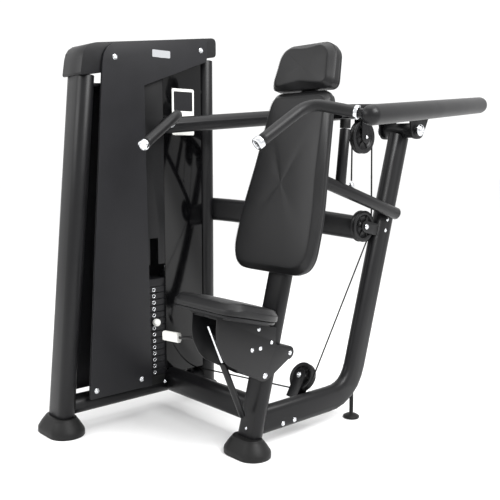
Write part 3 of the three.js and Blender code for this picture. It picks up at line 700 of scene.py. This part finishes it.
# %% Bolts on the seat carriage and the frame
PLATE_X = 66
CARRIAGE_BOLTS = [(-130, 337, 5.5), (-94, 346, 5.5), (-47, 371, 5), (52, 343, 6), (-48, 256, 7.5),
                  (-118, 409, 5.5)]
bolts("seat_carriage_bolts", "seat",
      [(leaning(s * PLATE_X, y, z), (s, 0, 0), r) for y, z, r in CARRIAGE_BOLTS for s in (-1, 1)])

SHROUD_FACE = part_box("shroud_panel")[1].x
SHROUD_SCREWS = [(-160, 1357), (238, 1415), (-271, 124), (-70, 129)]
bolts("shroud_screws", "root",
      [(upright(SHROUD_FACE / MM, y, z), (1, 0, 0), 7.5) for y, z in SHROUD_SCREWS])

pivot = Vector(joints["press_arm_hinge"]["pos_m"])
SHAFT_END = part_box("pivot_yoke")[1].x
bolts("arm_pivot_bolts", "press_arm",
      [(Vector((s * SHAFT_END, pivot.y, pivot.z)), (s, 0, 0), 17) for s in (-1, 1)])

AXLE_END = 24           # from a pulley's middle to the end of its axle
pulley_ends = []
for name in ("mid_pulley", "low_pulley"):
    joint = joints[name + "_spin"]
    axis = Vector(joint["axis"])
    pulley_ends += [(Vector(joint["pos_m"]) + axis * s * AXLE_END * MM, axis * s, 8)
                    for s in (-1, 1)]
bolts("frame_pulley_bolts", "root", pulley_ends)
arm_axle = Vector(joints["arm_pulley_spin"]["pos_m"])
bolts("arm_pulley_bolts", "press_arm",
      [(arm_axle + Vector((s * AXLE_END * MM, 0, 0)), (s, 0, 0), 5) for s in (-1, 1)])

RAIL_BOLT_Z = 50
bolts("rail_joint_bolts", "root",
      [(upright(s * 25, y, RAIL_BOLT_Z), (s, 0, 0), 6.5) for y in (150, 208) for s in (-1, 1)])
bolts("post_foot_bolt", "root",
      [(leaning(0, -25, 60), post_direction(0, -1, 0), 4)])
bolts("rear_post_bolts", "root", [(upright(s * 25, y, z), (s, 0, 0), 5.5)
                                  for y, z in ((712, 706), (724, 748)) for s in (-1, 1)])
bolts("base_beam_bolts", "root",
      [(upright(-558, y, z), (1, 0, 0), 5.5) for y, z in ((52, 92), (94, 132), (136, 92))])
print("bolts fitted")

# %% [markdown]
# ## Handles
# Each handle is a steel bar that elbows in towards the shoulder. A rubber sleeve is pushed on over
# both legs of the elbow, a chrome plug closes the free end, and a chrome collar finishes the root,
# where the bar comes out of the big tube.

# %% Grips, end plugs and collars
GRIP_R = 17.5
ELBOW_TURN = 52
HANDLE_ROOT = (494, 32, 1114)
HANDLE_BEND = (317, -38, 1153)
HANDLE_END = (289, -208, 1039)
ROOT_CLEAR = 42         # from the arm's centre line to where the sleeve starts


def elbow(root, bend, end, turn, clear):
    """Points along two straight legs with a smooth bend between them."""
    into = bend + (root - bend).normalized() * turn * MM
    out = bend + (end - bend).normalized() * turn * MM
    start = root + (bend - root).normalized() * clear * MM
    curve = [into * (1 - t) ** 2 + bend * 2 * t * (1 - t) + out * t * t
             for t in (k / 14 for k in range(15))]
    return [start.lerp(into, k / 8) for k in range(8)] + curve + [out.lerp(end, k / 8)
                                                                  for k in range(1, 9)]


for side, s in (("left", 1), ("right", -1)):
    root, bend, end = (upright(s * x, y, z) for x, y, z in (HANDLE_ROOT, HANDLE_BEND, HANDLE_END))
    path = elbow(root, bend, end, ELBOW_TURN, ROOT_CLEAR)
    sleeve = skin(f"grip_sleeve_{side}", swept_rings(path, GRIP_R, 28), grip_rubber)
    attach(sleeve, "press_arm")
    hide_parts(f"grip_{side}")
    out = (end - bend).normalized()
    plug = [(0.05, -4), (GRIP_R + 0.5, -4), (GRIP_R + 2, -2), (GRIP_R + 2, 12), (GRIP_R + 1, 14),
            (13, 15), (12, 13.5), (0.05, 13)]
    cap = skin(f"grip_end_cap_{side}", turned_rings(plug, end, out, 36), chrome)
    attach(soften(cap, 0.5), "press_arm")
    start = (path[1] - path[0]).normalized()
    ring = [(13.5, -3), (GRIP_R + 2.5, -3), (GRIP_R + 3, -1), (GRIP_R + 3, 6), (GRIP_R + 2.5, 8),
            (13.5, 8), (13.5, -3)]
    collar = skin(f"handle_collar_{side}", turned_rings(ring, path[0], start, 36), chrome)
    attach(collar, "press_arm")
print("handles sleeved")

# %% [markdown]
# ## Boots
# The posts stand in moulded boots with a broad base that slopes in to a neck. The structure's own
# boots are coarse, so each is skinned again from the same sizes with rounded edges and a bead at
# the neck.

# %% Boots
OVAL_POINTS = 72


def oval(centre, wide, deep, height, around=OVAL_POINTS):
    """A flat oval, long side across: two half rounds joined by straights."""
    r = deep / 2
    c = wide / 2 - r
    points = []
    for k in range(around):
        a = 2 * math.pi * k / around
        x = math.copysign(c, math.cos(a)) + r * math.cos(a)
        points.append(upright(centre[0] + x, centre[1] + r * math.sin(a), height))
    return points


BOOTS = {
    "seat_post_foot": ((0, 0), (186, 124), (116, 66)),
    "tower_front_foot": ((-624, -379), (212, 136), (138, 84)),
    "tower_rear_foot": ((-624, 295), (212, 136), (138, 84)),
}
BOOT_LEVELS = [(-30, 0.985, 0), (-28, 1.0, 0), (-13, 1.0, 0), (-10, 0.99, 0), (-8, 0.96, 0.04),
               (10, 0.6, 0.4), (24, 0.28, 0.72), (30, 0.1, 0.9), (32, 0.1, 0.93), (34, 0.02, 0.98)]
for node, (centre, base, neck) in BOOTS.items():
    rings = []
    for height, share_base, share_neck in BOOT_LEVELS:
        total = share_base + share_neck if share_neck else 1
        wide, deep = ((b * share_base + n * share_neck) / total for b, n in zip(base, neck))
        rings.append(oval(centre, wide, deep, height))
    boot = skin(node + "_boot", rings, rubber)
    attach(boot, "root")
    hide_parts(node)
print("moulded", len(BOOTS), "boots")

# %% [markdown]
# ## Weight plates
# The stack is a pile of cast plates, each with a hole for the selector pin in its near face. The
# structure holds them as two grooved blocks, so each plate is made on its own here. The pin sits
# between the plates that lift and those that stay.

# %% Weight plates
PLATE = 26
PLATE_GAP = 1.6
STACK_X, STACK_Y, STACK_FLOOR = -626, 18, 118
PLATE_WIDE, PLATE_DEEP = 92, 256
PIN_AT = 8              # the lowest plate that lifts, whose hole the selector pin fills
STACKS = {"resting_plates": ("root", 0, PIN_AT), "selected_plates": ("weight_stack", PIN_AT, 6)}


def plate_ring(inset, height):
    """The outline of a weight plate at this height."""
    half_x, half_y = PLATE_WIDE / 2, PLATE_DEEP / 2
    corners = [[STACK_X - half_x, STACK_Y - half_y, 8], [STACK_X + half_x, STACK_Y - half_y, 8],
               [STACK_X + half_x, STACK_Y + half_y, 8], [STACK_X - half_x, STACK_Y + half_y, 8]]
    middle = Vector((STACK_X, STACK_Y))
    return [upright(*(p + (middle - p).normalized() * inset), height)
            for p in rounded(corners, 64)]


for node, (body, first, count) in STACKS.items():
    made = []
    for k in range(first, first + count):
        low = STACK_FLOOR + k * PLATE + PLATE_GAP / 2
        high = low + PLATE - PLATE_GAP
        made.append(skin("plate", [plate_ring(2, low), plate_ring(0, low + 1.5),
                                   plate_ring(0, high - 1.5), plate_ring(2, high)], plate_paint,
                         smooth=False))
    plates = joined(node + "_pile", made)
    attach(plates, body)
    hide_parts(node)
    holes = [(upright(STACK_X + PLATE_WIDE / 2, STACK_Y, STACK_FLOOR + (k + 0.5) * PLATE))
             for k in range(first, first + count) if k != PIN_AT]
    rims = [skin("rim", turned_rings([(4.5, -1), (8, -1), (8, 0.8), (7, 1.2), (4.5, 0.2),
                                      (4.5, -1)], hole, (1, 0, 0), 20), chrome) for hole in holes]
    rim = joined(node + "_pin_holes", rims)
    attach(rim, body)
print("cast", sum(count for _, _, count in STACKS.values()), "plates")

# %% [markdown]
# ## Lift cable
# The cable is made fast on the strut, runs up over the arm's pulley and down to the middle one. As
# the arm lifts its pulley, both runs have to follow it at the top and stay put at the bottom; here
# each is drawn straight between its ends as they stand with the arm at rest.

# %% Cable runs
ANCHOR_Z = 905
ARM_CABLE_Y = arm_axle.y / MM
MID_CABLE_Y = joints["mid_pulley_spin"]["pos_m"][1] / MM
FRONT_RUN_Y = ARM_CABLE_Y - PULLEYS["arm_pulley"]
RUN_TOP_Z = 1069        # where both runs leave the arm's pulley
REAR_RUN_FOOT_Z = 729   # where the rear run meets the middle pulley
RUNS = {
    "lift_cable_front": ((0, FRONT_RUN_Y, ANCHOR_Z), (0, FRONT_RUN_Y, RUN_TOP_Z)),
    "lift_cable_rear": ((0, MID_CABLE_Y + PULLEYS["mid_pulley"], REAR_RUN_FOOT_Z),
                        (0, ARM_CABLE_Y + PULLEYS["arm_pulley"], RUN_TOP_Z)),
}
for node, (low, high) in RUNS.items():
    bottom, top = upright(*low), upright(*high)
    path = [bottom.lerp(top, k / 24) for k in range(25)]
    run = skin(node + "_run", swept_rings(path, CABLE_R, 10), cable_skin)
    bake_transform(run)
    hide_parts(node)
eye = [(0.05, -6), (9, -6), (11, -4), (11, 8), (7, 14), (4, 18), (0.05, 18)]
anchor = skin("cable_anchor", turned_rings(eye, upright(0, FRONT_RUN_Y, ANCHOR_Z - 22),
                                           (0, 0, 1), 28), chrome)
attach(anchor, "root")
print("cable runs made")

# %% [markdown]
# ## Badge and placard
# The shroud carries a small blank metal badge, and the gloss panel a white plastic placard with a
# border. Both are thin plates with rounded corners and stand just proud of the panels.

# %% Badge and placard


def plate_on_panel(name, x, y_range, z_range, thick, radius, material):
    """A thin rounded plate that stands out from a panel towards the user."""
    (y0, y1), (z0, z1) = y_range, z_range
    corners = [[y0, z0, radius], [y1, z0, radius], [y1, z1, radius], [y0, z1, radius]]
    outline = rounded(corners, 80)
    piece = skin(name, [[upright(x + out, p.x, p.y) for p in inward(outline, inset)]
                        for inset, out in ((0, 0), (0, thick - 0.6), (0.6, thick))], material,
                 smooth=False)
    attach(piece, "root")
    return piece


GLOSS_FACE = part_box("gloss_panel")[1].x / MM
plate_on_panel("badge", SHROUD_FACE / MM, (3, 86), (1371, 1399), 2, 5, chrome)
plate_on_panel("placard", GLOSS_FACE, (112, 220), (1081, 1263), 3, 5, white_knob)
PLACARD_PANELS = {
    "placard_panel_1": ((1176, 1252), shroud_coat, "shroud_steel"),
    "placard_panel_2": ((1094, 1164), white_knob, "white_grip"),
}
for name, (heights, material, slot) in PLACARD_PANELS.items():
    plate_on_panel(name, GLOSS_FACE + 3, (120, 212), heights, 0.6, 3, material)
print("plates fitted")

# %% [markdown]
# ## Studio
# A pale sweep of floor under a big soft box at the right, a weaker one at the front left, a third
# overhead, and an even sky. Black machines show only as reflections, so large lights
# matter more here than bright ones.

# %% Floor and lights
floor_paint, tree, shader = new_material("pale_studio_floor", Roughness=0.7, Specular_IOR_Level=0.2)
place = add(tree, "ShaderNodeTexCoord").outputs["Object"]
mottle = add(tree, "ShaderNodeTexNoise", {"Vector": place, "Scale": per_metre(400)})
tint = add(tree, "ShaderNodeValToRGB", {"Fac": mottle.outputs["Fac"]})
tint.color_ramp.elements[0].color = linear("#f4f4f4")
tint.color_ramp.elements[1].color = linear("#f8f8f8")
tree.links.new(tint.outputs["Color"], shader.inputs["Base Color"])
bpy.ops.mesh.primitive_plane_add(size=60)
floor = bpy.context.object
floor.name = "floor"
floor.data.materials.append(floor_paint)

SKY = 1.1               # an even white sky, the same to the eye as to the machine
world = bpy.data.worlds.new("studio")
bpy.context.scene.world = world
world.use_nodes = True
tree = world.node_tree
tree.nodes["Background"].inputs["Color"].default_value = (1, 1, 1, 1)
tree.nodes["Background"].inputs["Strength"].default_value = SKY
bpy.context.scene.view_settings.view_transform = "Standard"


def soft_box(name, where, towards, size, power):
    """A rectangular light that faces a point."""
    light = bpy.data.lights.new(name, "AREA")
    light.shape = "RECTANGLE"
    light.size, light.size_y = size
    light.energy = power
    box = bpy.data.objects.new(name, light)
    bpy.context.scene.collection.objects.link(box)
    box.location = where
    box.rotation_euler = (Vector(towards) - Vector(where)).to_track_quat("-Z", "Y").to_euler()
    return box


MIDDLE = (0, 0.2, 0.8)
soft_box("key", (2.6, 0.2, 3.2), MIDDLE, (2.2, 1.6), 150)
soft_box("fill", (-1.6, -3.0, 2.6), MIDDLE, (2.0, 1.4), 40)
soft_box("top", (0, 0.3, 4.0), MIDDLE, (3.0, 3.0), 60)
print("lights set")
